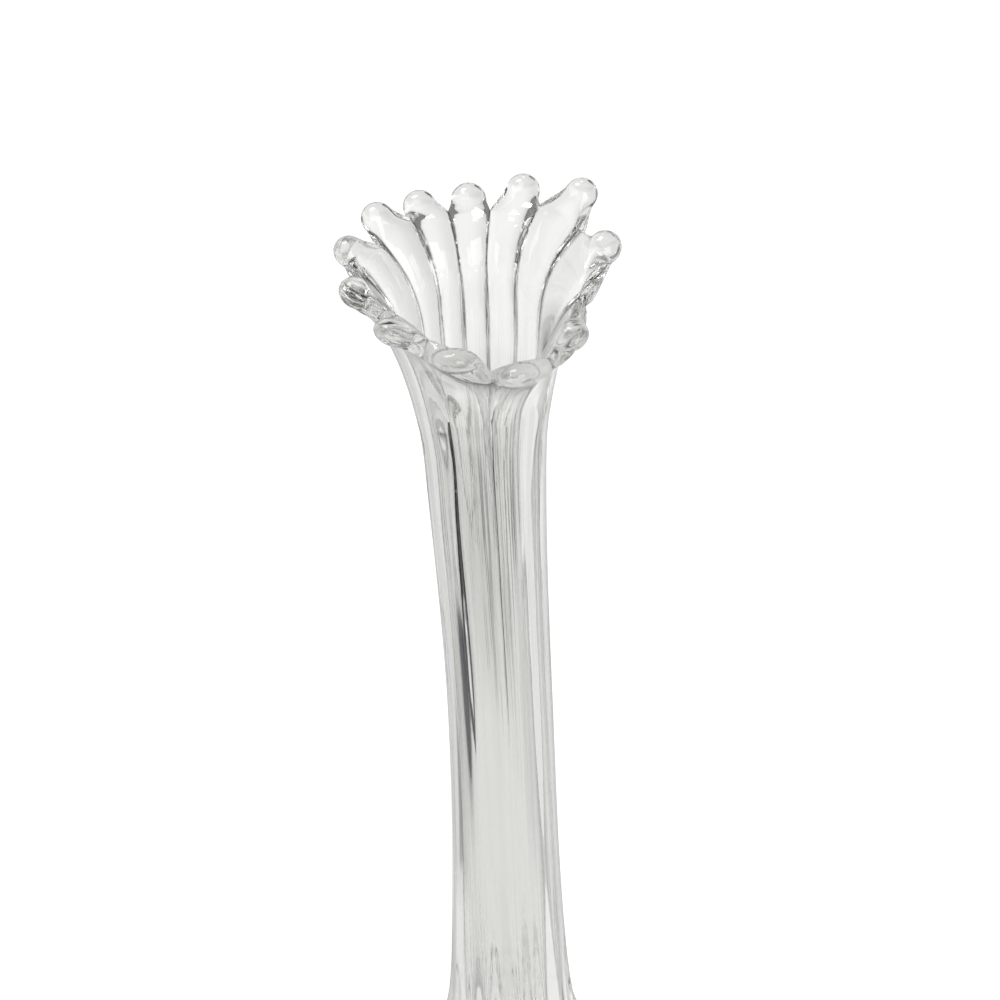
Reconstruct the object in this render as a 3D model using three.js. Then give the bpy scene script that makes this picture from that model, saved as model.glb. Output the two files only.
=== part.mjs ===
import * as THREE from 'three'
import { mergeVertices } from 'three/addons/utils/BufferGeometryUtils.js'

// A swung glass vase: a pressed, ribbed glass body that was reheated and swung until its wall
// stretched to a long fluted shaft, with a flared mouth that ends in one rounded finger per rib.
// Millimetres, +Z up, origin on the table under the centre of the foot.
// The glass is one casting. It is modelled as five zones that meet face to face on level planes.

// Foot
const footDiameter = 92
const footEdgeHeight = 9
const footEdgeRound = 3.5
const footEdgeTurn = 75
const footHeight = 15
const groundRingInnerDiameter = 62
const recessDepth = 2.4

// Heights of the zones above the foot
const lowerBodyHeight = 130
const shaftLength = 285
const throatLength = 50
const mouthRise = 50

// Widths over the rib crests
const waistDiameter = 73
const bellyDiameter = 85
const bellyRise = 29
const shoulderDiameter = 61.5
const shoulderRise = 93
const lowerBodyTopDiameter = 55.5
const shaftDiameter = 48
const narrowestRise = 155
const throatDiameter = 51.2
const mouthBaseDiameter = 60
const throatFlareRise = 30
const throatFlareDiameter = 54

// Wall at the crests, and how deep the valleys between the ribs are cut into it
const waistWall = 10
const bellyWall = 9.5
const shoulderWall = 7
const shaftWall = 5
const mouthWall = 5.6
const waistRibDepth = 0.4
const bellyRibDepth = 3.6
const shoulderRibDepth = 3.2
const shaftRibDepth = 2.4
const mouthRibDepth = 3
const rimWall = 10
const rimRibDepth = 4.6
const rimInnerRibDepth = 3.4
const insideBottomThickness = 20
const insideBottomRise = 14

// Mouth: the circle of the notches, how far they lie below the fingers beside them, and how far
// the glass leans out there from upright. The pull says how stiffly the flare's curve bends, and
// the turn share is the part of the flare over which the wall's cut turns from level to square.
const notchDiameter = 96
const notchDrop = 5
const flareAngle = 44
const flarePull = 0.3
const flareTurnShare = 0.4

// Fingers: a drop of glass at the end of each rib
const fingerWidth = 14
const fingerThickness = 12
const fingerStemShare = 0.94
const fingerAngle = 56

// Each finger's bearing from the back of the vase, clockwise from above, in degrees, then how far
// its round end stands outside the notch circle and above the level of the mouth.
// The swing left them uneven: the mouth is highest at the back right and lowest at the front.
const fingers = [
  { bearing: -2.5, reach: 2.5, lift: 8.5 },
  { bearing: 23.5, reach: 3, lift: 14.5 },
  { bearing: 55, reach: 5, lift: 22 },
  { bearing: 86.5, reach: 3, lift: 14 },
  { bearing: 133, reach: 0.5, lift: -2.5 },
  { bearing: 164.5, reach: 6.5, lift: -7.5 },
  { bearing: 191, reach: 5, lift: 1.5 },
  { bearing: 220, reach: 4, lift: 8.5 },
  { bearing: 250, reach: 3, lift: 12.5 },
  { bearing: 280, reach: 3.5, lift: 14 },
  { bearing: 310, reach: 3.5, lift: 13 },
  { bearing: 334, reach: 3, lift: 9.5 },
]
const ribTwist = 7

// The swung glass doesn't hang quite straight: its centre line bows a little to each side
const shaftSway = 0.9
const throatSway = -0.5

// Facets: how many across a rib and round the foot, and how far apart the rings up the wall are.
// The plain bore takes about half as many rings as the ribbed outside.
const facetsPerRib = 6
const footSegments = 48
const footCurveSteps = 3
const bodyRingSpacing = 14.5
const shaftRingSpacing = 36
const throatRingSpacing = 10
const boreRingShare = 0.55
const flareRows = 6
const stemShares = [0.3, 0.6, 1]
const roundAngles = [30, 60]
const weldDistance = 0.001

const ribCount = fingers.length
const columnCount = ribCount * facetsPerRib
const lowerBodyTop = footHeight + lowerBodyHeight
const shaftTop = lowerBodyTop + shaftLength
const throatTop = shaftTop + throatLength
const mouthLevel = throatTop + mouthRise

const glass = new THREE.MeshStandardMaterial({
  color: 0xe6e9e6,
  roughness: 0.05,
  metalness: 0,
  transparent: true,
  opacity: 0.35,
})

// Size over the crests, rib depth and wall at stations up the vase, joined by a smooth curve
const stations = [
  { z: footHeight, diameter: waistDiameter, depth: waistRibDepth, wall: waistWall, sway: 0 },
  {
    z: footHeight + bellyRise,
    diameter: bellyDiameter,
    depth: bellyRibDepth,
    wall: bellyWall,
    sway: 0,
  },
  {
    z: footHeight + shoulderRise,
    diameter: shoulderDiameter,
    depth: shoulderRibDepth,
    wall: shoulderWall,
    sway: 0,
  },
  {
    z: lowerBodyTop,
    diameter: lowerBodyTopDiameter,
    depth: shaftRibDepth,
    wall: shaftWall,
    sway: 0,
  },
  {
    z: lowerBodyTop + narrowestRise,
    diameter: shaftDiameter,
    depth: shaftRibDepth,
    wall: shaftWall,
    sway: shaftSway,
  },
  {
    z: shaftTop,
    diameter: throatDiameter,
    depth: shaftRibDepth,
    wall: shaftWall,
    sway: throatSway,
  },
  {
    z: shaftTop + throatFlareRise,
    diameter: throatFlareDiameter,
    depth: mouthRibDepth,
    wall: mouthWall,
    sway: throatSway,
  },
  {
    z: throatTop,
    diameter: mouthBaseDiameter,
    depth: mouthRibDepth,
    wall: mouthWall,
    sway: throatSway,
  },
]
const samples = stations.map((s) => [s.diameter / 2, s.depth, s.wall, s.sway])
const profile = new THREE.CubicInterpolant(
  stations.map((s) => s.z),
  samples.flat(),
  samples[0].length,
)

function sizeAt(z) {
  const [crest, depth, wall, sway] = profile.evaluate(z)
  return { crest, depth, wall, sway }
}

// Share of a rib's depth at a place across it: 0 on the crest, 1 in the sharp valleys at -1 and 1
function lobe(across) {
  return 1 - Math.cos((across * Math.PI) / 2)
}

// The notch before a rib, halfway between two fingers: its bearing and its height.
// Rib 12 is rib 0 again, one turn further on.
function notchAt(rib) {
  const own = fingers[rib % ribCount]
  const before = fingers[(rib + ribCount - 1) % ribCount]
  const gap = THREE.MathUtils.euclideanModulo(own.bearing - before.bearing, 360)
  const turns = Math.floor(rib / ribCount)
  return {
    bearing: own.bearing - gap / 2 + turns * 360,
    height: mouthLevel + (own.lift + before.lift) / 2 - notchDrop,
  }
}

// Bearing of the valley before a rib. At the foot the mould's ribs are even; towards the mouth
// each valley drifts to its notch.
function valleyBearing(rib, z) {
  const even = ribTwist + ((rib - 0.5) * 360) / ribCount
  const drift = THREE.MathUtils.smoothstep(z, footHeight, shaftTop)
  return THREE.MathUtils.lerp(even, notchAt(rib).bearing, drift)
}

// A column's rib, its place across the rib and its bearing in radians
function columnAt(index, z) {
  const rib = Math.floor(index / facetsPerRib)
  const share = index / facetsPerRib - rib
  const bearing = THREE.MathUtils.lerp(valleyBearing(rib, z), valleyBearing(rib + 1, z), share)
  return { rib, share, across: share * 2 - 1, bearing: THREE.MathUtils.degToRad(bearing) }
}

function pointAt(bearing, radius, z, sway = 0) {
  return new THREE.Vector3(sway + Math.sin(bearing) * radius, Math.cos(bearing) * radius, z)
}

function outerRing(z) {
  const { crest, depth, sway } = sizeAt(z)
  return Array.from({ length: columnCount }, (_, i) => {
    const column = columnAt(i, z)
    return pointAt(column.bearing, crest - depth * lobe(column.across), z, sway)
  })
}

function innerRing(z, share = 1, heightAt = z) {
  const { crest, wall, sway } = sizeAt(z)
  return Array.from({ length: columnCount }, (_, i) => {
    return pointAt(columnAt(i, z).bearing, (crest - wall) * share, heightAt, sway)
  })
}

function steps(from, to, count) {
  return Array.from({ length: count + 1 }, (_, i) => THREE.MathUtils.lerp(from, to, i / count))
}

function levels(from, to, spacing) {
  return steps(from, to, Math.max(1, Math.round(Math.abs(to - from) / spacing)))
}

// Collects triangles between rings of points and turns them into one closed geometry
class Skin {
  constructor() {
    this.positions = []
  }

  triangle(a, b, c) {
    for (const p of [a, b, c]) this.positions.push(p.x, p.y, p.z)
  }

  quad(a, b, c, d) {
    this.triangle(a, b, c)
    this.triangle(a, c, d)
  }

  // Two open rows of as many points, the second further along the skin
  strip(row, next) {
    for (let i = 0; i + 1 < row.length; i += 1) {
      this.quad(row[i], next[i], next[i + 1], row[i + 1])
    }
  }

  loops(rings) {
    for (let i = 0; i + 1 < rings.length; i += 1) {
      this.strip([...rings[i], rings[i][0]], [...rings[i + 1], rings[i + 1][0]])
    }
  }

  geometry() {
    const geometry = new THREE.BufferGeometry()
    geometry.setAttribute('position', new THREE.Float32BufferAttribute(this.positions, 3))
    const merged = mergeVertices(geometry, weldDistance)
    merged.computeVertexNormals()
    return merged
  }
}

function sub(name, geometry) {
  const mesh = new THREE.Mesh(geometry, glass.clone())
  mesh.name = name
  return mesh
}

// Solid pressed foot: a ground ring that stands on the table round a shallow domed recess,
// a fire-polished edge and a sloping top that runs in to the waist
function foot() {
  const ring = groundRingInnerDiameter / 2
  const domeRadius = (ring ** 2 + recessDepth ** 2) / (2 * recessDepth)
  const waist = waistDiameter / 2
  const roundCentre = footDiameter / 2 - footEdgeRound
  const turn = THREE.MathUtils.degToRad(footEdgeTurn)
  const outline = new THREE.Path()
  outline.moveTo(0, recessDepth)
  outline.absarc(0, recessDepth - domeRadius, domeRadius, Math.PI / 2, Math.acos(ring / domeRadius), true)
  outline.lineTo(roundCentre, 0)
  outline.absarc(roundCentre, footEdgeRound, footEdgeRound, -Math.PI / 2, 0)
  outline.lineTo(footDiameter / 2, footEdgeHeight - footEdgeRound)
  outline.absarc(roundCentre, footEdgeHeight - footEdgeRound, footEdgeRound, 0, turn)
  outline.quadraticCurveTo(waist, footEdgeHeight, waist, footHeight)
  outline.lineTo(0, footHeight)
  const lathe = new THREE.LatheGeometry(outline.getPoints(footCurveSteps), footSegments)
  lathe.rotateX(Math.PI / 2)
  return sub('foot', lathe)
}

// Thick ribbed lower body, closed below by the inside bottom of the vase
function lowerBody() {
  const skin = new Skin()
  const outer = levels(footHeight, lowerBodyTop, bodyRingSpacing).map(outerRing)
  const bottomZ = footHeight + insideBottomThickness
  const bowlTop = bottomZ + insideBottomRise
  const boreSpacing = bodyRingSpacing / boreRingShare
  const inner = levels(lowerBodyTop, bowlTop, boreSpacing).map((z) => innerRing(z))
  const bowl = [...roundAngles].reverse().map((angle) => {
    const turn = THREE.MathUtils.degToRad(angle)
    return innerRing(bowlTop, Math.sin(turn), bottomZ + insideBottomRise * (1 - Math.cos(turn)))
  })
  const under = Array(columnCount).fill(new THREE.Vector3(0, 0, footHeight))
  const over = Array(columnCount).fill(new THREE.Vector3(0, 0, bottomZ))
  skin.loops([under, ...outer, ...inner, ...bowl, over])
  return sub('lower_body', skin.geometry())
}

// Open length of wall between two levels
function wallZone(name, from, to, ringSpacing) {
  const skin = new Skin()
  const outer = levels(from, to, ringSpacing).map(outerRing)
  const inner = levels(to, from, ringSpacing / boreRingShare).map((z) => innerRing(z))
  skin.loops([...outer, ...inner, outer[0]])
  return sub(name, skin.geometry())
}

// A column's middle line through the wall of the mouth, from the throat out to the notches
function flareLine(column) {
  const { crest, wall } = sizeAt(throatTop)
  const widening = crest - sizeAt(throatTop - 1).crest
  const start = new THREE.Vector2(crest - wall / 2, throatTop)
  const heights = [notchAt(column.rib).height, notchAt(column.rib + 1).height]
  const end = new THREE.Vector2(notchDiameter / 2, THREE.MathUtils.lerp(...heights, column.share))
  const pull = start.distanceTo(end) * flarePull
  const angle = THREE.MathUtils.degToRad(flareAngle)
  const leave = new THREE.Vector2(widening, 1).normalize().multiplyScalar(pull)
  const arrive = new THREE.Vector2(Math.sin(angle), Math.cos(angle)).multiplyScalar(pull)
  return new THREE.CubicBezierCurve(start, start.clone().add(leave), end.clone().sub(arrive), end)
}

// A row of the mouth's wall, on its outer or its inner face. The wall is cut level where it stands
// on the throat, and square to its middle line further up.
function flareRow(share, side) {
  const below = sizeAt(throatTop)
  const wall = THREE.MathUtils.lerp(below.wall, rimWall, share)
  const depth = THREE.MathUtils.lerp(below.depth, rimRibDepth, share)
  const innerDepth = rimInnerRibDepth * THREE.MathUtils.smoothstep(share, 0, 1)
  const sway = THREE.MathUtils.lerp(below.sway, 0, share)
  return Array.from({ length: columnCount }, (_, i) => {
    const column = columnAt(i, throatTop)
    const line = flareLine(column)
    const middle = line.getPoint(share)
    const along = line.getTangent(share)
    const tilt = new THREE.Vector2(along.y, -along.x)
    const across = new THREE.Vector2(1, 0)
    across.lerp(tilt, THREE.MathUtils.smoothstep(share, 0, flareTurnShare)).normalize()
    const outerOffset = wall / 2 - depth * lobe(column.across)
    const innerOffset = innerDepth * lobe(column.across) - wall / 2
    const offset = side === 'outer' ? outerOffset : innerOffset
    return pointAt(column.bearing, middle.x + across.x * offset, middle.y + across.y * offset, sway)
  })
}

// One finger: a closed tube that grows from the rib's stretch of wall and ends in a round drop
function finger(skin, rib, outerEdge, innerEdge) {
  const { reach, lift } = fingers[rib]
  const bearing = THREE.MathUtils.degToRad(fingers[rib].bearing)
  const last = outerEdge.length - 1
  const crown = Math.floor(last / 2)
  const root = outerEdge[crown].clone().add(innerEdge[crown]).multiplyScalar(0.5)
  const notchGap = outerEdge[0].distanceTo(outerEdge[last]) / 2
  const end = pointAt(bearing, notchDiameter / 2 + reach, mouthLevel + lift)
  const line = new THREE.LineCurve3(root, end)
  const slope = THREE.MathUtils.degToRad(fingerAngle)
  const along = pointAt(bearing, Math.sin(slope), Math.cos(slope))
  const sideways = pointAt(bearing + Math.PI / 2, 1, 0)
  const outside = along.clone().cross(sideways)
  const half = fingerWidth / 2
  const rootThickness = rimWall / 2

  // Points round a section, first over the outer face, then back over the inner face
  const section = (middle, width, thickness) => {
    return Array.from({ length: last * 2 }, (_, i) => {
      const turn = Math.PI - (i * Math.PI) / last
      return middle
        .clone()
        .addScaledVector(sideways, width * Math.cos(turn))
        .addScaledVector(outside, thickness * Math.sin(turn))
    })
  }
  const stem = stemShares.map((share) => {
    const fillet = (notchGap - half) * (1 - share) ** 2
    const width = half * THREE.MathUtils.lerp(fingerStemShare, 1, share * share) + fillet
    const thickness = THREE.MathUtils.lerp(rootThickness, fingerThickness / 2, share)
    return section(line.getPoint(share), width, thickness)
  })
  const drop = roundAngles.map((angle) => {
    const turn = THREE.MathUtils.degToRad(angle)
    const middle = end.clone().addScaledVector(along, half * Math.sin(turn))
    return section(middle, half * Math.cos(turn), (fingerThickness / 2) * Math.cos(turn))
  })
  const tip = Array(last * 2).fill(end.clone().addScaledVector(along, half))

  const first = stem[0]
  skin.strip(outerEdge, first.slice(0, last + 1))
  skin.strip([...innerEdge].reverse(), [...first.slice(last), first[0]])
  skin.triangle(outerEdge[last], first[last], innerEdge[last])
  skin.triangle(innerEdge[0], first[0], outerEdge[0])
  skin.loops([...stem, ...drop, tip])
}

// Flared mouth with its ring of fingers
function fingeredMouth() {
  const skin = new Skin()
  const outer = steps(0, 1, flareRows).map((share) => flareRow(share, 'outer'))
  const inner = steps(0, 1, flareRows).map((share) => flareRow(share, 'inner'))
  skin.loops(outer)
  skin.loops([...inner].reverse())
  skin.loops([inner[0], outer[0]])
  const outerEdge = [...outer.at(-1), outer.at(-1)[0]]
  const innerEdge = [...inner.at(-1), inner.at(-1)[0]]
  for (let rib = 0; rib < ribCount; rib += 1) {
    const from = rib * facetsPerRib
    const to = from + facetsPerRib + 1
    finger(skin, rib, outerEdge.slice(from, to), innerEdge.slice(from, to))
  }
  return sub('fingered_mouth', skin.geometry())
}

const vase = new THREE.Group()
vase.name = 'swung_glass_vase'
vase.add(foot())
vase.add(lowerBody())
vase.add(wallZone('shaft', lowerBodyTop, shaftTop, shaftRingSpacing))
vase.add(wallZone('throat', shaftTop, throatTop, throatRingSpacing))
vase.add(fingeredMouth())

export default vase
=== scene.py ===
import math

import bpy
import numpy as np
from mathutils import Matrix, Vector


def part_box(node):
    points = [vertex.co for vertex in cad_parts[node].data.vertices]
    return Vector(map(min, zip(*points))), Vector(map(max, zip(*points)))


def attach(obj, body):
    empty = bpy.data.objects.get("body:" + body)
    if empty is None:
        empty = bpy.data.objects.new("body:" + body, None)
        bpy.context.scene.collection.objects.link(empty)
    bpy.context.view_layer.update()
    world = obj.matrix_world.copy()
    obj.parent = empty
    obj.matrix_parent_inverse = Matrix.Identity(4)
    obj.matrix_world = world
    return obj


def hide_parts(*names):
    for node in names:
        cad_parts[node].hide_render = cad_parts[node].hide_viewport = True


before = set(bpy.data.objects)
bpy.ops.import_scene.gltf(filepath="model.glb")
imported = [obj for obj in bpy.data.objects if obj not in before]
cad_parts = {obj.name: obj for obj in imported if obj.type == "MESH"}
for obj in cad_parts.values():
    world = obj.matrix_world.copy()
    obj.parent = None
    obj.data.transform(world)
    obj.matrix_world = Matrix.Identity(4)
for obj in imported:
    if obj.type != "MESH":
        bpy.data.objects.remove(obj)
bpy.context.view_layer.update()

mm = 0.001


# A few small helpers

def easeBetween(value, start, end):
    share = np.clip((value - start) / (end - start), 0, 1)
    return share * share * (3 - 2 * share)


def mix(first, second, share):
    return first + (second - first) * share


def hexColour(code):
    # sRGB hex to the linear colour that Blender works in
    parts = [int(code[i:i + 2], 16) / 255 for i in (1, 3, 5)]
    linear = [p / 12.92 if p <= 0.04045 else ((p + 0.055) / 1.055) ** 2.4 for p in parts]
    return (*linear, 1.0)


def addNode(tree, kind, settings=None, inputs=None):
    # inputs go by name or number, and each is a value or another node's output
    node = tree.nodes.new(kind)
    for name, value in (settings or {}).items():
        setattr(node, name, value)
    for name, value in (inputs or {}).items():
        if isinstance(value, bpy.types.NodeSocket):
            tree.links.new(value, node.inputs[name])
        else:
            node.inputs[name].default_value = value
    return node


def addSteps(tree, kind, known, steps):
    # Each step is a name for its result, an operation, and values or names that are known by then
    for name, operation, *entries in steps:
        inputs = {place: known.get(entry, entry) for place, entry in enumerate(entries)}
        known[name] = addNode(tree, kind, dict(operation=operation), inputs).outputs[0]


def placed(name, data):
    thing = bpy.data.objects.new(name, data)
    bpy.context.scene.collection.objects.link(thing)
    return thing


# The vase's shape, in millimetres

zones = dict(
    footTop=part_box("foot")[1].z / mm,
    bodyTop=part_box("lower_body")[1].z / mm,
    shaftTop=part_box("shaft")[1].z / mm,
    throatTop=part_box("throat")[1].z / mm,
    mouthRise=50,
)
zones["mouthLevel"] = zones["throatTop"] + zones["mouthRise"]

# Height, crest diameter, rib depth, wall and sideways sway, joined by a smooth curve. The swing
# drew the ribs almost flat in the middle of the shaft.
profile = [
    (zones["footTop"], 73, 0.4, 10, 0),
    (zones["footTop"] + 29, 85, 3.4, 9.5, 0),
    (zones["footTop"] + 93, 61.5, 2.2, 7, 0),
    (zones["bodyTop"], 55.5, 1.1, 5, 0),
    (zones["bodyTop"] + 155, 48, 0.8, 5, 0.9),
    (zones["shaftTop"], 51.2, 1.8, 5, -0.5),
    (zones["shaftTop"] + 30, 54, 2.6, 5.6, -0.5),
    (zones["throatTop"], 60, 3, 5.6, -0.5),
]

foot = dict(diameter=92, edgeHeight=9, edgeRound=3.5, edgeTurn=75, ringInner=62, recess=2.4)
inside = dict(bottomThickness=20, bottomRise=14, bowlAngles=(90, 78, 66, 54, 42, 30, 18, 8))

# The notch before each finger: bearing from the back, clockwise from above, radius, height over
# the mouth's level, then how far the wall leans out there and how stiffly it bends
notches = np.array([
    (346, 45.8, 6.1, 60, 0.45),
    (368.4, 45.3, 5.6, 60, 0.45),
    (396.2, 46, 12, 58, 0.45),
    (428.2, 46.2, 12, 50, 0.4),
    (475, 45.5, 3.4, 44, 0.3),
    (506, 49.3, -10.1, 44, 0.3),
    (535.7, 49.4, -9.1, 44, 0.3),
    (566.7, 47.4, 2.8, 44, 0.3),
    (594.5, 47.3, 8, 44, 0.3),
    (629, 49.4, 9.2, 44, 0.3),
    (661, 45, 4.7, 50, 0.4),
    (684, 46.1, 8.2, 58, 0.45),
])
# Each finger's bearing, the radius and height of its round end, then that end's half width and
# half thickness. The ones in front are wide lobes, the ones at the back are rounder.
fingers = [
    (357.5, 50.5, 8.5, 7.4, 6.4),
    (383.5, 51, 14.5, 7.0, 6.4),
    (415, 53, 22, 6.9, 6.4),
    (446.5, 51, 14, 7.4, 6.6),
    (493, 48.5, -2.5, 7.6, 6),
    (524.5, 52.3, -7.3, 8.6, 5),
    (551, 52, 1.5, 9.6, 5),
    (580, 52, 8, 8.4, 5.4),
    (610, 51, 12, 7.4, 6),
    (640, 51.5, 14, 6.6, 6.2),
    (670, 51.5, 13, 7.0, 6.4),
    (694, 51, 9.5, 7.0, 6.4),
]
mouth = dict(
    rimWall=10,
    rimDepth=4.0,
    rimInnerDepth=2.8,
    turnShare=0.4,            # share of the flare in which the wall's faces turn square to it
    notchBulge=0.45,          # how far the glass rounds up between the faces at a notch
    fingerAngle=56,           # how far the fingers lean out
    sideAngle=14,             # half of the turn that each side takes of a finger's section
    roundFrom=-0.35,          # where its turn to a round drop starts, as a share of its length
    cutFade=1.6,              # how soon its flutes end
)
flutes = dict(
    twist=7, shaftValleys={6: 531, 7: 570}, settleFrom=15, settleTo=330, spreadFrom=400,
    lowSharp=0.25, lowFrom=60, lowTo=150, softTo=330, sharpFrom=450,
)
# Valleys that closed up to a fold: how wide it is open at each height, from 0 to 1
folds = {
    7: (
        (290, 0), (325, 0.62), (388, 0.62), (418, 0.5),
        (446, 0.42), (474, 0.28), (490, 0.12), (499, 0),
    ),
    6: ((290, 0), (330, 0.2), (480, 0.2), (500, 0.25), (518, 0)),
}
# The deep fold took up its valley's glass: beside it the wall lies almost flat in the throat, and
# the valley is gone a third of the way up the flare
flatBeside = dict(valley=7, share=0.3, low=330, high=410, goneBy=0.35)
# Draw lines gather in front, round one bearing, and come in up the shaft
drawn = dict(
    bearing=530,
    core=16,                  # all of them up to so many degrees from there, and
    edge=42,                  # beyond so many only this share:
    elsewhere=0.15,
    least=0.02,               # share of them low down and on the fingers
    growFrom=260,
    growTo=420,
    lipLess=0.45,             # how much smoother the throat is under the lip
    lipFrom=450,
    lipTo=490,
    mouthLeft=0.3,            # share that is left in the mouth
    mouthBy=0.6,
    smoothFrom=0.4,           # smooth glass beside a fold, as shares of half a rib
    smoothTo=0.8,
)
# Painted shade in the sharp valleys of the flare, which turn light away: how near the valley,
# as a share of half a rib, and over which share of the flare it sets in on each side of the wall
creaseShade = dict(width=0.93, inner=(0.05, 0.4), outer=(0.7, 1))
grid = dict(
    acrossRib=24, sideSteps=4, footRows=4, bodyRow=5, shaftRow=8,
    flareRows=26, stemRows=8, roundRows=8,
)
ribCount = len(fingers)
up = np.array([0.0, 0.0, 1.0])


def profileAt(z):
    # Smooth curve through the stations, with each station's slope the mean of its neighbours'
    table = np.array(profile, float)
    heights = table[:, 0]
    values = table[:, 1:].copy()
    values[:, 0] /= 2
    secants = np.diff(values, axis=0) / np.diff(heights)[:, None]
    slopes = np.vstack([secants[:1], (secants[1:] + secants[:-1]) / 2, secants[-1:]])
    z = np.atleast_1d(np.asarray(z, float))
    low = np.clip(np.searchsorted(heights, z, side="right") - 1, 0, len(heights) - 2)
    span = (heights[low + 1] - heights[low])[:, None]
    t = (z - heights[low])[:, None] / span
    return (
        (2 * t**3 - 3 * t**2 + 1) * values[low]
        + (t**3 - 2 * t**2 + t) * span * slopes[low]
        + (3 * t**2 - 2 * t**3) * values[low + 1]
        + (t**3 - t**2) * span * slopes[low + 1]
    )


# Columns of the skin: the rib, the turn across it from valley to valley, and the place across
turns = np.linspace(-np.pi / 2, np.pi / 2, grid["acrossRib"] + 1)
columnRib = np.repeat(np.arange(ribCount), grid["acrossRib"])
columnTurn = np.tile(turns[:-1], ribCount)
columnAcross = np.sin(columnTurn)
columnShare = (columnAcross + 1) / 2
columnValley = (columnRib + (columnAcross >= 0)) % ribCount
columnCount = len(columnRib)


def acrossRibs(perNotch, turn=0.0):
    # A value given at each notch, at each column. turn is what it gains in one turn of the vase.
    after = np.append(perNotch[1:], perNotch[0] + turn)
    return mix(perNotch[columnRib], after[columnRib], columnShare)


def valleyBearings(z):
    # Even at the foot, where the mould made them, and at their notches in the mouth
    atNotches = notches[:, 0]
    even = 360 + flutes["twist"] + (np.arange(ribCount) - 0.5) * 360 / ribCount
    onShaft = atNotches.copy()
    for rib, bearing in flutes["shaftValleys"].items():
        onShaft[rib] = bearing
    settled = mix(even, onShaft, easeBetween(z, flutes["settleFrom"], flutes["settleTo"]))
    return mix(settled, atNotches, easeBetween(z, flutes["spreadFrom"], zones["mouthLevel"]))


def around(bearing, radius, z, sway=0.0):
    angle = np.radians(bearing)
    x = sway + np.sin(angle) * radius
    y = np.cos(angle) * radius
    return np.stack(np.broadcast_arrays(x, y, z), -1)


class Rows:
    # Rings of the skin from the ground up, each with what the flutes and draw lines need
    def __init__(self):
        self.points, self.cuts = [], []
        self.amounts = dict(drawStrength=[], sharp=[], fold=[], crease=[])

    def add(self, points, cut=0.0, **amounts):
        # cut is the vector from the crest's surface down to the valley's
        self.points.append(points)
        self.cuts.append(np.broadcast_to(cut, points.shape))
        for name, values in self.amounts.items():
            values.append(np.broadcast_to(np.asarray(amounts.get(name, 0), float), len(points)))


def drawStrength(z):
    # Draw lines are strongest in the upper shaft, and the throat under the lip is smoother
    grown = mix(drawn["least"], 1, easeBetween(z, drawn["growFrom"], drawn["growTo"]))
    return grown - drawn["lipLess"] * easeBetween(z, drawn["lipFrom"], drawn["lipTo"])


def streaksAt(bearing, z):
    # The glass beside a fold stayed smooth
    front = 1 - easeBetween(np.abs(bearing - drawn["bearing"]), drawn["core"], drawn["edge"])
    towardsValley = easeBetween(np.abs(columnAcross), drawn["smoothFrom"], drawn["smoothTo"])
    return mix(drawn["elsewhere"], 1, front) * (1 - foldAt(z) * towardsValley)


def sharpness(z):
    # Valleys are soft waves low down and sharp creases towards the mouth
    low = flutes["lowSharp"] * (1 - easeBetween(z, flutes["lowFrom"], flutes["lowTo"]))
    return low + easeBetween(z, flutes["softTo"], flutes["sharpFrom"])


def foldAt(z):
    # How far the fold beside each column is open at a height, from 0 to 1
    amount = np.zeros(columnCount)
    for valley, openings in folds.items():
        heights, widths = zip(*openings)
        amount[columnValley == valley] = np.interp(z, heights, widths)
    return amount


def flatAt(z):
    # 1 where the rib lies flat beside the deep fold, else 0
    beside = columnValley == flatBeside["valley"]
    return beside * easeBetween(z, flatBeside["low"], flatBeside["high"])


def wallRow(rows, z, side):
    crest, depth, wall, sway = profileAt(z)[0]
    bearing = acrossRibs(valleyBearings(z), 360)
    outer = side == "outer"
    flat = flatAt(z)
    depth = depth * mix(1, flatBeside["share"], flat)[:, None]
    rows.add(
        around(bearing, crest if outer else crest - wall, z, sway),
        cut=-around(bearing, 1, 0) * depth if outer else 0.0,
        drawStrength=drawStrength(z) * streaksAt(bearing, z),
        sharp=sharpness(z) * (1 - flat),
        fold=foldAt(z) if outer else 0,
    )


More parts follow.
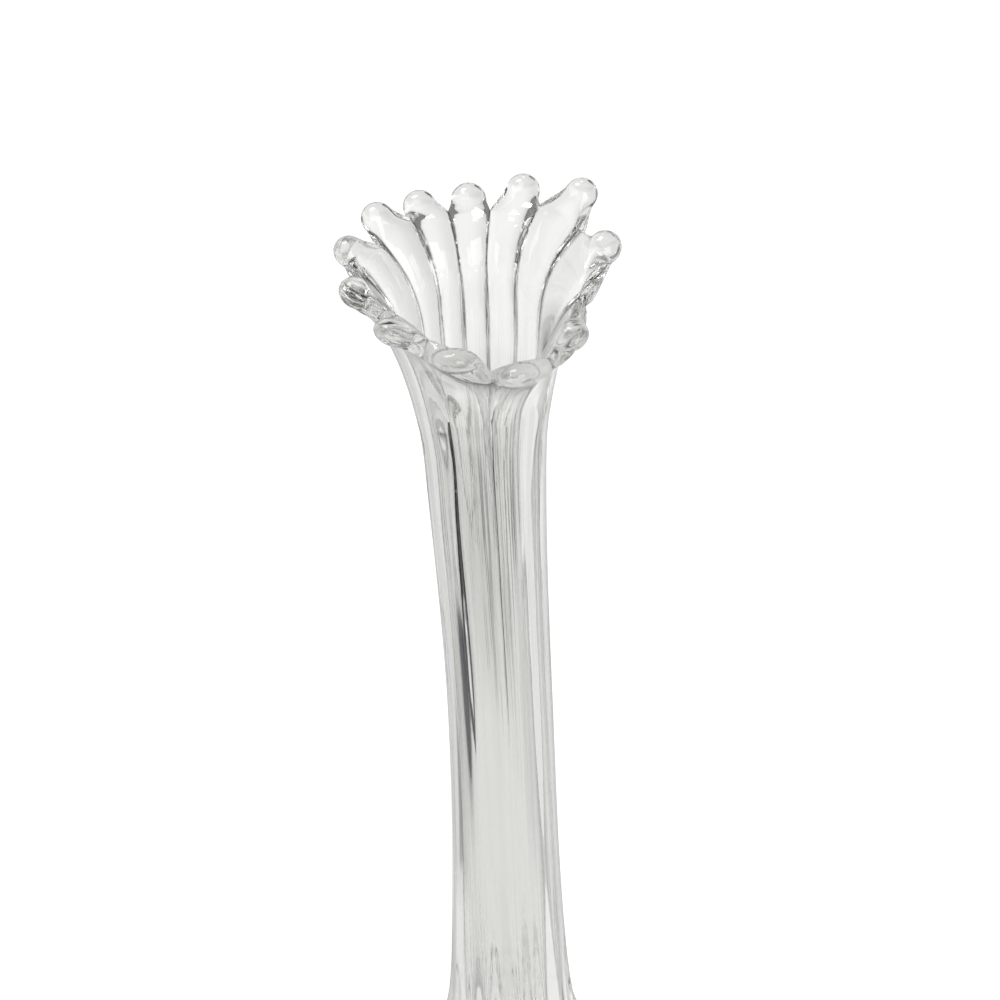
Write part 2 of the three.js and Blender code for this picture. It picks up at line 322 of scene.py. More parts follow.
def flareRow(rows, t, side):
    # t runs from the throat to the notches. The middle of the wall bends out, and the faces lie
    # beside it.
    outer = side == "outer"
    throatTop = zones["throatTop"]
    crest, depth, wall, sway = profileAt(throatTop)[0]
    crestBelow = profileAt(throatTop - 1)[0][0]
    throatBearing = acrossRibs(valleyBearings(throatTop), 360)
    rimBearing = acrossRibs(notches[:, 0], 360)
    radius, lift, lean, pull = (acrossRibs(notches[:, i]) for i in (1, 2, 3, 4))
    start = np.stack([np.full(columnCount, crest - wall / 2), np.full(columnCount, throatTop)], -1)
    end = np.stack([radius, zones["mouthLevel"] + lift], -1)
    reach = (np.linalg.norm(end - start, axis=1) * pull)[:, None]
    leave = np.array([crest - crestBelow, 1.0])
    leave = leave / np.linalg.norm(leave)
    lean = np.radians(lean)
    arrive = np.stack([np.sin(lean), np.cos(lean)], -1)
    control = [start, start + leave * reach, end - arrive * reach, end]
    middle = (
        (1 - t)**3 * control[0] + 3 * (1 - t)**2 * t * control[1]
        + 3 * (1 - t) * t**2 * control[2] + t**3 * control[3]
    )
    along = (
        (1 - t)**2 * (control[1] - control[0]) + 2 * (1 - t) * t * (control[2] - control[1])
        + t**2 * (control[3] - control[2])
    )
    along = along / np.linalg.norm(along, axis=1, keepdims=True)
    square = np.stack([along[:, 1], -along[:, 0]], -1)
    acrossWall = mix(np.array([1.0, 0.0]), square, easeBetween(t, 0, mouth["turnShare"]))
    acrossWall = acrossWall / np.linalg.norm(acrossWall, axis=1, keepdims=True)
    halfWall = mix(wall, mouth["rimWall"], t) / 2
    place = middle + acrossWall * (halfWall if outer else -halfWall)
    bearing = mix(throatBearing, rimBearing, easeBetween(t, 0, 1))
    direction = around(bearing, 1, 0) * acrossWall[:, :1] + up * acrossWall[:, 1:]
    flat = flatAt(throatTop) * outer
    flatShare = flatBeside["share"] * (1 - easeBetween(t, 0, flatBeside["goneBy"]))
    outerDepth = mix(depth, mouth["rimDepth"], t) * mix(1, flatShare, flat)[:, None]
    innerDepth = mouth["rimInnerDepth"] * easeBetween(t, 0, 1)
    fading = mix(1, drawn["mouthLeft"], easeBetween(t, 0, drawn["mouthBy"]))
    # Painted shade in the sharp valleys of the flare, which darkens the glass's colour there
    inValley = easeBetween(np.abs(columnAcross), creaseShade["width"], 1)
    rows.add(
        around(bearing, place[:, 0], place[:, 1], sway * (1 - t)),
        cut=-direction * outerDepth if outer else direction * innerDepth,
        drawStrength=drawStrength(throatTop) * fading * streaksAt(bearing, throatTop),
        sharp=1 - flat,
        fold=foldAt(mix(throatTop, zones["mouthLevel"], t)) if outer else 0,
        crease=inValley * easeBetween(t, *creaseShade[side]),
    )


def footProfile():
    # From the middle of the recess over the ground ring and the round edge up to the waist
    ring = foot["ringInner"] / 2
    dome = (ring**2 + foot["recess"]**2) / (2 * foot["recess"])
    edge = foot["diameter"] / 2
    r = foot["edgeRound"]
    waist = profile[0][1] / 2
    turn = math.radians(foot["edgeTurn"])
    steps = grid["footRows"]
    points = []
    for radius in np.linspace(0, ring, 2 * steps + 1)[1:]:
        points.append((radius, foot["recess"] - dome + math.sqrt(dome**2 - radius**2)))
    for radius in np.linspace(ring, edge - r, steps + 1)[1:]:
        points.append((radius, 0))
    for angle in np.linspace(-math.pi / 2, 0, 2 * steps)[1:]:
        points.append((edge - r + r * math.cos(angle), r + r * math.sin(angle)))
    for angle in np.linspace(0, turn, 2 * steps):
        z = foot["edgeHeight"] - r + r * math.sin(angle)
        points.append((edge - r + r * math.cos(angle), z))
    first = np.array(points[-1])
    corner = np.array([waist, foot["edgeHeight"]])
    last = np.array([waist, zones["footTop"]])
    for t in np.linspace(0, 1, 3 * steps)[1:-1]:
        points.append(tuple((1 - t)**2 * first + 2 * (1 - t) * t * corner + t**2 * last))
    return points


def spaced(low, high, spacing):
    return np.linspace(low, high, max(2, round((high - low) / spacing) + 1))


def levelsUp():
    lower = spaced(zones["footTop"], zones["bodyTop"], grid["bodyRow"])
    upper = spaced(zones["bodyTop"], zones["throatTop"], grid["shaftRow"])
    return np.concatenate([lower, upper[1:]])


def fingerRows(rib, rootLoop, rootCut):
    # Sections from the rim to the tip: each morphs from the rib's own section to the drop's ellipse
    bearing, radius, lift, half, thick = fingers[rib]
    end = around(bearing, radius, zones["mouthLevel"] + lift)
    lean = math.radians(mouth["fingerAngle"])
    outward, sideways = around(bearing, 1, 0), around(bearing + 90, 1, 0)
    along = outward * math.sin(lean) + up * math.cos(lean)
    outside = np.cross(along, sideways)
    root = rootLoop.mean(axis=0)
    lip = math.radians(mouth["sideAngle"])
    outerArc = np.linspace(-math.pi / 2 + lip, math.pi / 2 - lip, grid["acrossRib"] + 1)
    sideArc = np.linspace(math.pi / 2 - lip, math.pi / 2 + lip, grid["sideSteps"] + 1)[1:-1]
    angles = np.concatenate([outerArc, sideArc, outerArc + math.pi, sideArc + math.pi])

    def ellipse(middle, scale):
        return (
            middle + np.sin(angles)[:, None] * half * scale * sideways
            + np.cos(angles)[:, None] * thick * scale * outside
        )

    sections, cuts = [], []
    atRoot = easeBetween(0, mouth["roundFrom"], 1.0)
    for step in range(1, grid["stemRows"] + 1):
        s = step / grid["stemRows"]
        middle = mix(root, end, s)
        blend = (easeBetween(s, mouth["roundFrom"], 1.0) - atRoot) / (1 - atRoot)
        sections.append(mix(rootLoop + (middle - root), ellipse(middle, 1), blend))
        cuts.append(rootCut * (1 - blend) ** mouth["cutFade"])
    for step in range(1, grid["roundRows"]):
        angle = step / grid["roundRows"] * math.pi / 2
        middle = end + along * half * math.sin(angle)
        sections.append(ellipse(middle, math.cos(angle)))
        cuts.append(rootCut * 0)
    return sections, cuts, end + along * half


def buildBlank():
    # The uncut skin: one closed surface from the recess, up the outside, over the fingers and
    # down the inside to the bottom, with the depth of the flutes kept as an attribute
    rows = Rows()
    for radius, z in footProfile():
        rows.add(around(acrossRibs(valleyBearings(0), 360), radius, z))
    heights = levelsUp()
    for z in heights:
        wallRow(rows, z, "outer")
    shares = np.linspace(0, 1, grid["flareRows"] + 1)
    for share in shares[1:]:
        flareRow(rows, share, "outer")
    outerTop = len(rows.points) - 1
    for share in shares[::-1]:
        flareRow(rows, share, "inner")
    bottom = zones["footTop"] + inside["bottomThickness"]
    bowlTop = bottom + inside["bottomRise"]
    for z in heights[::-1]:
        if bowlTop < z < zones["throatTop"]:
            wallRow(rows, z, "inner")
    crest, _, wall, _ = profileAt(bowlTop)[0]
    bearing = acrossRibs(valleyBearings(bowlTop), 360)
    for angle in np.radians(inside["bowlAngles"]):
        z = bottom + inside["bottomRise"] * (1 - math.cos(angle))
        rows.add(around(bearing, (crest - wall) * math.sin(angle), z))

    rowCount = len(rows.points)
    points = list(np.concatenate(rows.points))
    cuts = list(np.concatenate(rows.cuts))
    amounts = {name: list(np.concatenate(values)) for name, values in rows.amounts.items()}
    amounts["across"] = list(np.tile(columnAcross, rowCount))
    amounts["girthShare"] = list(np.tile((columnRib + columnShare) / ribCount, rowCount))
    faces = []
    index = np.arange(rowCount * columnCount).reshape(rowCount, columnCount)
    for low in range(rowCount - 1):
        if low == outerTop:
            continue
        here, there = index[low], index[low + 1]
        for c in range(columnCount):
            d = (c + 1) % columnCount
            faces.append((here[c], there[c], there[d], here[d]))

    def addPoint(place, cut=(0, 0, 0), **given):
        points.append(np.asarray(place, float))
        cuts.append(np.asarray(cut, float))
        given = dict(sharp=1) | given
        for name, values in amounts.items():
            values.append(float(given.get(name, 0)))
        return len(points) - 1

    # Poles under the recess and at the inside bottom
    under = addPoint((0, 0, foot["recess"]))
    over = addPoint((0, 0, bottom))
    for c in range(columnCount):
        d = (c + 1) % columnCount
        faces.append((under, index[0][c], index[0][d]))
        faces.append((over, index[-1][d], index[-1][c]))

    # The bottom of each notch: a few points from the outer to the inner valley
    count, sides = grid["acrossRib"], grid["sideSteps"]
    outerRim, innerRim = index[outerTop], index[outerTop + 1]
    notchLine = []
    for rib in range(ribCount):
        outer, inner = outerRim[rib * count], innerRim[rib * count]
        a, b = points[outer] + cuts[outer], points[inner] + cuts[inner]
        line = []
        for step in range(1, sides):
            s = step / sides
            line.append(addPoint(mix(a, b, s) + up * mouth["notchBulge"] * math.sin(math.pi * s)))
        notchLine.append(line)

    sideAcross = np.ones(sides - 1)
    loopAcross = np.concatenate([np.sin(turns), sideAcross, -np.sin(turns), -sideAcross])
    for rib in range(ribCount):
        nextRib = (rib + 1) % ribCount
        columns = [(rib * count + i) % columnCount for i in range(count + 1)]
        outerEdge = [outerRim[c] for c in columns]
        innerEdge = [innerRim[c] for c in columns][::-1]
        loop = outerEdge + notchLine[nextRib] + innerEdge + notchLine[rib][::-1]
        rootLoop = np.array([points[i] for i in loop])
        rootCut = np.array([cuts[i] for i in loop])
        loopGirth = (rib + (loopAcross + 1) / 2) / ribCount
        sections, sectionCuts, tip = fingerRows(rib, rootLoop, rootCut)
        below = loop
        for section, sectionCut in zip(sections, sectionCuts):
            above = [
                addPoint(place, cut, drawStrength=drawn["least"], across=across, girthShare=share)
                for place, cut, across, share in zip(section, sectionCut, loopAcross, loopGirth)
            ]
            for i in range(len(loop)):
                j = (i + 1) % len(loop)
                faces.append((below[i], above[i], above[j], below[j]))
            below = above
        tipPoint = addPoint(tip)
        for i in range(len(loop)):
            j = (i + 1) % len(loop)
            faces.append((below[i], tipPoint, below[j]))
    amounts = {name: np.array(values) for name, values in amounts.items()}
    return np.array(points), np.array(cuts), amounts, faces


# Flutes and draw lines, as a Geometry Nodes tree that works on the blank skin

drawLines = dict(
    fluteSharpness=0.75,      # near the mouth: 0 is a row of waves, 1 a row of half rounds
    foldDepth=2.4 * mm,
    foldWidth=0.42,           # as a share of half a rib
    lineDepth=0.035 * mm,
    linePitch=1.8 * mm,
    swellDepth=0.13 * mm,     # slow unevenness left by the pull
    swellPitch=8 * mm,
    patchPitch=2,             # lines and swells come in patches, so many swells long
    patchFrom=0.4,            # the noise at which a patch starts,
    patchTo=0.62,             # and at which it is full
    patchLeast=0.15,          # how strong they are between the patches,
    patchMost=1.6,            # and in them
    girthRadius=27 * mm,
    stretch=60,               # how much longer along the pull than across it
    seed=7,
)
treeInputs = {
    "Flute Sharpness": drawLines["fluteSharpness"],
    "Fold Depth": drawLines["foldDepth"],
    "Fold Width": drawLines["foldWidth"],
    "Line Depth": drawLines["lineDepth"],
    "Line Pitch": drawLines["linePitch"],
    "Swell Depth": drawLines["swellDepth"],
    "Swell Pitch": drawLines["swellPitch"],
    "Seed": float(drawLines["seed"]),
}


def fluteTree():
    tree = bpy.data.node_groups.new("pullFlutesAndDrawLines", "GeometryNodeTree")
    face = tree.interface
    face.new_socket("Geometry", in_out="INPUT", socket_type="NodeSocketGeometry")
    for name in treeInputs:
        face.new_socket(name, in_out="INPUT", socket_type="NodeSocketFloat")
    face.new_socket("Glass", in_out="INPUT", socket_type="NodeSocketMaterial")
    face.new_socket("Geometry", in_out="OUTPUT", socket_type="NodeSocketGeometry")
    start = addNode(tree, "NodeGroupInput").outputs
    known = {name: start[name] for name in treeInputs}
    for name in ("across", "sharp", "fold", "drawStrength", "cut", "girth"):
        kind = dict(data_type="FLOAT_VECTOR" if name in ("cut", "girth") else "FLOAT")
        node = addNode(tree, "GeometryNodeInputNamedAttribute", kind, {"Name": name})
        known[name] = next(s for s in node.outputs if s.enabled and s.name == "Attribute")
    known["normal"] = addNode(tree, "GeometryNodeInputNormal").outputs[0]
    addSteps(tree, "ShaderNodeVectorMath", known, [("inward", "NORMALIZE", "cut")])

    # Depth of the cut across a rib, from 0 on the crest to 1 in the valley
    addSteps(tree, "ShaderNodeMath", known, (
        ("square", "MULTIPLY", "across", "across"),
        ("leftOfSquare", "SUBTRACT", 1, "square"),
        ("underRoot", "MAXIMUM", "leftOfSquare", 0),
        ("root", "SQRT", "underRoot"),
        ("halfRound", "SUBTRACT", 1, "root"),
        ("quarterTurn", "MULTIPLY", "across", math.pi / 2),
        ("quarterCosine", "COSINE", "quarterTurn"),
        ("wave", "SUBTRACT", 1, "quarterCosine"),
        ("halfTurn", "MULTIPLY", "across", math.pi),
        ("halfCosine", "COSINE", "halfTurn"),
        ("doubleSoft", "SUBTRACT", 1, "halfCosine"),
        ("soft", "MULTIPLY", "doubleSoft", 0.5),
        ("rounder", "SUBTRACT", "halfRound", "wave"),
        ("roundShare", "MULTIPLY", "rounder", "Flute Sharpness"),
        ("sharpLobe", "ADD", "wave", "roundShare"),
        ("sharper", "SUBTRACT", "sharpLobe", "soft"),
        ("sharpShare", "MULTIPLY", "sharper", "sharp"),
        ("lobe", "ADD", "soft", "sharpShare"),
    ))
    # A fold is a groove on top of the valley, whose walls slope the same however wide it is
    addSteps(tree, "ShaderNodeMath", known, (
        ("fromCrest", "ABSOLUTE", "across"),
        ("fromValley", "SUBTRACT", 1, "fromCrest"),
        ("reach", "MULTIPLY", "Fold Width", "fold"),
        ("pastEdge", "SUBTRACT", "reach", "fromValley"),
        ("openShare", "DIVIDE", "pastEdge", "Fold Width"),
        ("open", "MAXIMUM", "openShare", 0),
        ("groove", "MULTIPLY", "open", "Fold Depth"),
    ))
    # Lines run with the pull: the noise is read round the girth and stretched along the glass
    addSteps(tree, "ShaderNodeMath", known, (
        ("patchPitch", "MULTIPLY", "Swell Pitch", drawLines["patchPitch"]),
        ("patchScale", "DIVIDE", 1, "patchPitch"),
        ("lineScale", "DIVIDE", 1, "Line Pitch"),
        ("swellScale", "DIVIDE", 1, "Swell Pitch"),
    ))
    for name, detail in (("patch", 0), ("line", 1), ("swell", 1)):
        scaling = {0: known["girth"], "Scale": known[name + "Scale"]}
        place = addNode(tree, "ShaderNodeVectorMath", dict(operation="SCALE"), scaling).outputs[0]
        look = {"Scale": 1, "Detail": detail, "Vector": place, "W": start["Seed"]}
        noise = addNode(tree, "ShaderNodeTexNoise", dict(noise_dimensions="4D"), look)
        known[name + "Noise"] = noise.outputs[0]
    patch = {0: known["patchNoise"], 1: drawLines["patchFrom"], 2: drawLines["patchTo"]}
    patch |= {3: drawLines["patchLeast"], 4: drawLines["patchMost"]}
    known["patchy"] = addNode(tree, "ShaderNodeMapRange", {}, patch).outputs[0]
    addSteps(tree, "ShaderNodeMath", known, (
        ("strength", "MULTIPLY", "drawStrength", "patchy"),
        ("lineWave", "SUBTRACT", "lineNoise", 0.5),
        ("lineHeight", "MULTIPLY", "lineWave", "Line Depth"),
        ("lineMove", "MULTIPLY", "lineHeight", "strength"),
        ("swellWave", "SUBTRACT", "swellNoise", 0.5),
        ("swellHeight", "MULTIPLY", "swellWave", "Swell Depth"),
        ("swellMove", "MULTIPLY", "swellHeight", "strength"),
    ))

    shape = start["Geometry"]
    for way, amount in (
        ("cut", "lobe"), ("inward", "groove"), ("normal", "lineMove"), ("normal", "swellMove"),
    ):
        scaling = {0: known[way], "Scale": known[amount]}
        offset = addNode(tree, "ShaderNodeVectorMath", dict(operation="SCALE"), scaling).outputs[0]
        moved = {"Geometry": shape, "Offset": offset}
        shape = addNode(tree, "GeometryNodeSetPosition", {}, moved).outputs[0]
    for kind, extra in (
        ("GeometryNodeRealizeInstances", {}),
        ("GeometryNodeSetShadeSmooth", {}),
        ("GeometryNodeSetMaterial", {"Material": start["Glass"]}),
    ):
        shape = addNode(tree, kind, {}, {"Geometry": shape} | extra).outputs[0]
    addNode(tree, "NodeGroupOutput", {}, {"Geometry": shape})
    return tree


def blankObject():
    points, cuts, amounts, faces = buildBlank()
    print("blank skin:", len(points), "points", len(faces), "faces")
    mesh = bpy.data.meshes.new("swungGlass")
    mesh.from_pydata((points * mm).tolist(), [], faces)
    mesh.update()
    angle = amounts.pop("girthShare") * 2 * np.pi
    radius = drawLines["girthRadius"]
    along = points[:, 2] * mm / drawLines["stretch"]
    amounts["girth"] = np.stack([np.sin(angle) * radius, np.cos(angle) * radius, along], -1)
    amounts["cut"] = cuts * mm
    for name, values in amounts.items():
        kind, field = ("FLOAT", "value") if values.ndim == 1 else ("FLOAT_VECTOR", "vector")
        layer = mesh.attributes.new(name, kind, "POINT")
        layer.data.foreach_set(field, np.ascontiguousarray(values, np.float32).ravel())
    return placed("swungGlassVase", mesh)


glassLook = dict(
    clear="#ededeb",
    drawLine="#949492",
    crease="#3e3e3c",         # painted shade: a sharp valley bends light away, more than the mesh alone does
    edgeOnPaintedShade="#343432",        # painted shade where the wall is seen edge on
    edgeOnShadeFrom=0.62,
    edgeOnShadeTo=0.86,
    body="#c9ccc4",           # the glass's own faint grey
    bodyDensity=1,
    roughness=0.012,
    ior=1.5,
    ripplePitch=0.8 * mm,
    rippleHeight=0.03 * mm,
    linePitch=0.5 * mm,       # real ones are finer, and this is as fine as shows
    lineShrink=0.3,           # how much they are drawn out beyond the ripples, as a scale
    lineFull=0.38,            # the noise below this is all line, and
    lineGone=0.44,            # above this clear
    noiseDetail=2,
)


def swungGlass():
    # Clear soda-lime glass, pressed, reheated and swung: fire-polished and glossy, a little grey
    # where it is thick, with fine lines drawn along the pull that blur what is seen through it
    glass = bpy.data.materials.new("firePolishedSodaLimeGlass")
    glass.use_nodes = True
    tree = glass.node_tree
    shader = tree.nodes["Principled BSDF"]
    shader.inputs["Transmission Weight"].default_value = 1
    shader.inputs["IOR"].default_value = glassLook["ior"]
    shader.inputs["Roughness"].default_value = glassLook["roughness"]
    known = {}
    for name, output in (("girth", "Vector"), ("drawStrength", "Fac"), ("crease", "Fac")):
        node = addNode(tree, "ShaderNodeAttribute", dict(attribute_name=name))
        known[name] = node.outputs[output]

    detail = glassLook["noiseDetail"]
    ripples = {"Scale": 1 / glassLook["ripplePitch"], "Detail": detail, "Vector": known["girth"]}
    height = addNode(tree, "ShaderNodeTexNoise", {}, ripples).outputs[0]
    relief = {"Distance": glassLook["rippleHeight"], "Height": height}
    relief["Strength"] = known["drawStrength"]
    bump = addNode(tree, "ShaderNodeBump", {}, relief)
    tree.links.new(bump.outputs[0], shader.inputs["Normal"])

    drawnOut = (1, 1, glassLook["lineShrink"])
    addSteps(tree, "ShaderNodeVectorMath", known, [("longer", "MULTIPLY", "girth", drawnOut)])
    lines = {"Scale": 1 / glassLook["linePitch"], "Detail": detail, "Vector": known["longer"]}
    noise = addNode(tree, "ShaderNodeTexNoise", {}, lines).outputs[0]
    span = {0: noise, 1: glassLook["lineFull"], 2: glassLook["lineGone"], 3: 1, 4: 0}
    known["dark"] = addNode(tree, "ShaderNodeMapRange", {}, span).outputs[0]
    addSteps(tree, "ShaderNodeMath", known, [("line", "MULTIPLY", "dark", "drawStrength")])
    # Painted shade where the wall is seen edge on: the colour darkens towards the silhouette
    facing = addNode(tree, "ShaderNodeLayerWeight", {}, {"Blend": 0.5}).outputs["Facing"]
    span = {0: facing, 1: glassLook["edgeOnShadeFrom"], 2: glassLook["edgeOnShadeTo"]}
    known["edge"] = addNode(tree, "ShaderNodeMapRange", {}, span).outputs[0]
    colour = hexColour(glassLook["clear"])
    # Each darkens the colour: the draw lines, painted shade in the sharp valleys, and painted shade
    # where the wall is seen edge on
    for share, darker in (("line", "drawLine"), ("crease", "crease"), ("edge", "edgeOnPaintedShade")):
        blend = {0: known[share], 6: colour, 7: hexColour(glassLook[darker])}
        colour = addNode(tree, "ShaderNodeMix", dict(data_type="RGBA"), blend).outputs[2]
    tree.links.new(colour, shader.inputs["Base Color"])

    tone = {"Color": hexColour(glassLook["body"]), "Density": glassLook["bodyDensity"]}
    body = addNode(tree, "ShaderNodeVolumeAbsorption", {}, tone)
    tree.links.new(body.outputs[0], tree.nodes["Material Output"].inputs["Volume"])
    return glass


glass = swungGlass()
vase = blankObject()
modifier = vase.modifiers.new("pull", "NODES")
modifier.node_group = fluteTree()
for socket in modifier.node_group.interface.items_tree:
    if socket.in_out == "INPUT" and socket.name in treeInputs:
        modifier[socket.identifier] = treeInputs[socket.name]
    elif socket.in_out == "INPUT" and socket.name == "Glass":
        modifier[socket.identifier] = glass
bpy.context.view_layer.update()
evaluated = vase.evaluated_get(bpy.context.evaluated_depsgraph_get())
shaped = bpy.data.meshes.new_from_object(evaluated)
vase.modifiers.clear()
vase.data = shaped
print("vase:", len(shaped.vertices), "points", len(shaped.polygons), "faces")
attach(vase, "root")
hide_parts("foot", "lower_body", "shaft", "throat", "fingered_mouth")


# Stage: a white floor that keeps the shadow, a white sweep behind, and a dark room in front that
# the glass picks up in its edges and creases. Soft boxes and spots give the bright patches.

stage = dict(
    floorSize=12,
    floorColour="#f2f2f1",
    floorRoughness=0.9,
    leftMost=0.5,             # how far to the left the painted shade keeps darkening the floor in the glass
    sweep="#ffffff",
    ceiling="#8a8a8a",
    darkRoom="#2a2a2b",
    surroundLight=0.6,
)
# Each fades from one distance to another, in metres, and from one level to another
floorFades = dict(
    glow=(0.8, 2.2, 0.7, 1),           # light added for the camera, which makes it white far off
    rest=(0.58, 0.9, 0.99, 1.15),      # how bright the glass sees the floor, with painted shade near the vase,
    underFoot=(0.03, 0.14, 0.01, 0),   # what is added to that under the foot,
    tilt=(0.48, 0.68, 0.15, 0.35),     # and how much painted shade darkens it on the left
)
# Each fades along an axis of the ray's direction, from one place to another, and from one colour
# to another
surroundFades = dict(
    upwards=("Z", 0, 0.5, "sweep", "ceiling"),
    room=("Z", 0, 0.08, "sweep", "darkRoom"),
    behind=("Y", -0.45, 0.05, "room", "upwards"),
    overhead=("Z", 0.75, 0.95, "behind", "ceiling"),
)
softBoxes = [
    dict(name="frontBox", place=(0.45, -1.2, 1.0), aimHeight=0.5, size=(0.9, 1.2), radiance=3.2),
    dict(name="topBox", place=(-0.5, 0.55, 1.7), aimHeight=0.3, size=(0.6, 0.6), radiance=6),
    dict(name="leftSpot", place=(-1.1, -0.4, 1.75), aimHeight=0.5, size=(0.05, 0.05), radiance=300),
    dict(name="backSpot", place=(0.05, 1.05, 1.65), aimHeight=0.5, size=(0.05, 0.05), radiance=300),
]
# Dark cards that only the glass sees: the bearings that each spans from behind the vase clockwise
# from above, its distances from the vase, its heights, how much of its width thins out at each
# edge, what it is made of and its colour
cards = [
    dict(
        name="centreCard", bearings=(90, 128), distances=(0.22, 0.64), heights=(0.001, 0.001),
        feather=0.15, surface="charcoalFelt", colour="#4a4a4a",
    ),
    dict(
        name="frontCard", bearings=(150, 234), distances=(0.36, 0.36), heights=(0, 0.42),
        feather=0.1, surface="blackVelvet", colour="#0c0c0c",
    ),
    dict(
        name="leftCard", bearings=(268, 300), distances=(0.385, 0.6), heights=(0.001, 0.001),
        feather=0.08, surface="blackFelt", colour="#060606",
    ),
    dict(
        name="leftPaper", bearings=(255, 310), distances=(0.2, 0.43), heights=(0.003, 0.003),
        feather=0.15, surface="slateGreyPaper", colour="#5c5e66",
    ),
]


def mattPaint(name, colour, roughness=1):
    # Paper, felt or velvet: flat and without any highlight of its own
    paint = bpy.data.materials.new(name)
    paint.use_nodes = True
    inputs = paint.node_tree.nodes["Principled BSDF"].inputs
    inputs["Base Color"].default_value = hexColour(colour)
    inputs["Roughness"].default_value = roughness
    inputs["Specular IOR Level"].default_value = 0
    return paint


def raysFrom(tree):
    # The camera's own rays, and those that come through the glass or off it
    rays = addNode(tree, "ShaderNodeLightPath").outputs
    known = dict(off=rays["Is Glossy Ray"], through=rays["Is Transmission Ray"])
    addSteps(tree, "ShaderNodeMath", known, [("glass", "MAXIMUM", "off", "through")])
    return rays["Is Camera Ray"], known["glass"]


def makeFloor():
    half = stage["floorSize"] / 2
    corners = [(-half, -half, 0), (half, -half, 0), (half, half, 0), (-half, half, 0)]
    mesh = bpy.data.meshes.new("floor")
    mesh.from_pydata(corners, [], [(0, 1, 2, 3)])
    floor = placed("studioFloor", mesh)
    paint = mattPaint("mattWhiteSweep", stage["floorColour"], stage["floorRoughness"])
    tree = paint.node_tree
    shader = tree.nodes["Principled BSDF"]
    shader.inputs["Emission Color"].default_value = (1, 1, 1, 1)
    fromCamera, fromGlass = raysFrom(tree)
    position = addNode(tree, "ShaderNodeNewGeometry").outputs["Position"]
    known = dict(fromCamera=fromCamera, position=position)

    length = addNode(tree, "ShaderNodeVectorMath", dict(operation="LENGTH"), {0: position})
    smooth = dict(interpolation_type="SMOOTHSTEP")
    for name, (near, far, first, last) in floorFades.items():
        span = {0: length.outputs["Value"], 1: near, 2: far, 3: first, 4: last}
        known[name] = addNode(tree, "ShaderNodeMapRange", smooth, span).outputs[0]
    addSteps(tree, "ShaderNodeVectorMath", known, [("bearing", "NORMALIZE", "position")])
    toRight = addNode(tree, "ShaderNodeSeparateXYZ", {}, {0: known["bearing"]}).outputs["X"]
    leftSide = {"Value": toRight, "Min": -stage["leftMost"], "Max": 0}
    known["left"] = addNode(tree, "ShaderNodeClamp", {}, leftSide).outputs[0]
    # The glass sees the floor as a glow with painted shade: darker near the vase and on the left
    addSteps(tree, "ShaderNodeMath", known, (
        ("seen", "MULTIPLY", "fromCamera", "glow"),
        ("sided", "MULTIPLY_ADD", "left", "tilt", 1),
        ("level", "MULTIPLY_ADD", "rest", "sided", "underFoot"),
    ))
    tree.links.new(known["seen"], shader.inputs["Emission Strength"])
    shown = addNode(tree, "ShaderNodeEmission", {}, {"Strength": known["level"]})
    choice = {0: fromGlass, 1: shader.outputs[0], 2: shown.outputs[0]}
    either = addNode(tree, "ShaderNodeMixShader", {}, choice)
    tree.links.new(either.outputs[0], tree.nodes["Material Output"].inputs["Surface"])
    mesh.materials.append(paint)


def makeSurround():
    world = bpy.data.worlds.new("studio")
    bpy.context.scene.world = world
    world.use_nodes = True
    tree = world.node_tree
    tree.nodes.clear()
    direction = addNode(tree, "ShaderNodeTexCoord").outputs["Generated"]
    place = addNode(tree, "ShaderNodeSeparateXYZ", {}, {0: direction}).outputs
    smooth = dict(interpolation_type="SMOOTHSTEP")
    layers = {name: hexColour(stage[name]) for name in ("sweep", "ceiling", "darkRoom")}
    for name, (axis, low, high, first, second) in surroundFades.items():
        span = {0: place[axis], 1: low, 2: high}
        share = addNode(tree, "ShaderNodeMapRange", smooth, span).outputs[0]
        blend = {0: share, 6: layers[first], 7: layers[second]}
        layers[name] = addNode(tree, "ShaderNodeMix", dict(data_type="RGBA"), blend).outputs[2]

    # The camera sees a plain white, the glass sees the room, and the rest is lit more weakly
    fromCamera, fromGlass = raysFrom(tree)
    lights = []
    for layer, strength in (("overhead", stage["surroundLight"]), ("overhead", 1), ("sweep", 1)):
        look = {"Color": layers[layer], "Strength": strength}
        lights.append(addNode(tree, "ShaderNodeBackground", {}, look).outputs[0])
    lit, seen, plain = lights
    indoors = addNode(tree, "ShaderNodeMixShader", {}, {0: fromGlass, 1: lit, 2: seen}).outputs[0]
    either = addNode(tree, "ShaderNodeMixShader", {}, {0: fromCamera, 1: indoors, 2: plain})
    addNode(tree, "ShaderNodeOutputWorld", {}, {"Surface": either.outputs[0]})


def softBox(name, place, aimHeight, size, radiance):
    light = bpy.data.lights.new(name, "AREA")
    light.shape = "RECTANGLE"
    light.size, light.size_y = size
    light.energy = radiance * math.pi * size[0] * size[1]
    lamp = placed(name, light)
    lamp.location = place
    aim = Vector((0, 0, aimHeight)) - Vector(place)
    lamp.rotation_euler = aim.to_track_quat("-Z", "Y").to_euler()


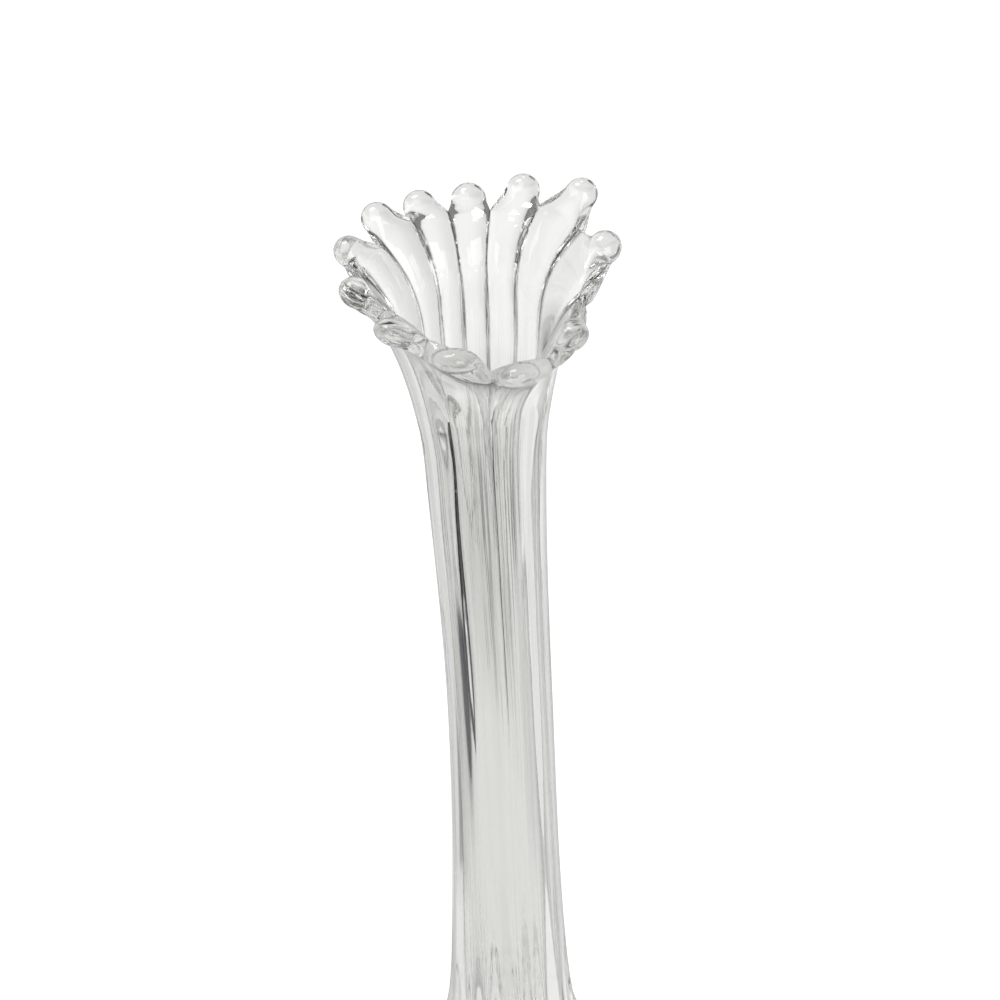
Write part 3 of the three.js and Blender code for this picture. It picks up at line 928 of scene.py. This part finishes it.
def makeCard(name, bearings, distances, heights, feather, surface, colour):
    # It thins out at its edges, so that no hard edge shows in the glass
    along = np.array([0, feather, 0.3, 0.5, 0.7, 1 - feather, 1])
    outwards = np.array([0, feather, 1 - feather, 1])
    places, cover, quads = [], [], []
    for i, out in enumerate(outwards):
        for j, share in enumerate(along):
            place = around(mix(*bearings, share), mix(*distances, out), mix(*heights, out))
            places.append(tuple(place))
            cover.append(0.0 if out in (0, 1) or share in (0, 1) else 1.0)
            if i and j:
                here = i * len(along) + j
                quads.append((here - len(along) - 1, here - len(along), here, here - 1))
    mesh = bpy.data.meshes.new(name)
    mesh.from_pydata(places, [], quads)
    mesh.attributes.new("cover", "FLOAT", "POINT").data.foreach_set("value", cover)
    card = placed(name, mesh)
    paint = mattPaint(surface, colour)
    tree = paint.node_tree
    thick = addNode(tree, "ShaderNodeAttribute", dict(attribute_name="cover")).outputs["Fac"]
    tree.links.new(thick, tree.nodes["Principled BSDF"].inputs["Alpha"])
    mesh.materials.append(paint)
    card.visible_camera = card.visible_diffuse = card.visible_shadow = False


makeFloor()
makeSurround()
for card in cards:
    makeCard(**card)
for box in softBoxes:
    softBox(**box)
print("stage ready")

# Camera at the photograph's view. The roll takes up the lean that the vase has there.
camera = dict(place=(0, -0.98298, 1.21829), tilt=50.903, pan=-0.2966, roll=-2.5, lens=107.44)
lens = bpy.data.cameras.new("camera")
lens.lens = camera["lens"]
eye = placed("camera", lens)
turn = (
    Matrix.Rotation(math.radians(camera["pan"]), 4, "Z")
    @ Matrix.Rotation(math.radians(camera["tilt"]), 4, "X")
    @ Matrix.Rotation(math.radians(camera["roll"]), 4, "Z")
)
eye.matrix_world = Matrix.Translation(camera["place"]) @ turn
scene = bpy.context.scene
scene.camera = eye

scene.view_settings.view_transform = "Standard"
lightBounces = 128        # light is guided a long way down the wall
scene.cycles.max_bounces = lightBounces
scene.cycles.transmission_bounces = lightBounces
scene.cycles.glossy_bounces = lightBounces
scene.cycles.volume_bounces = 0
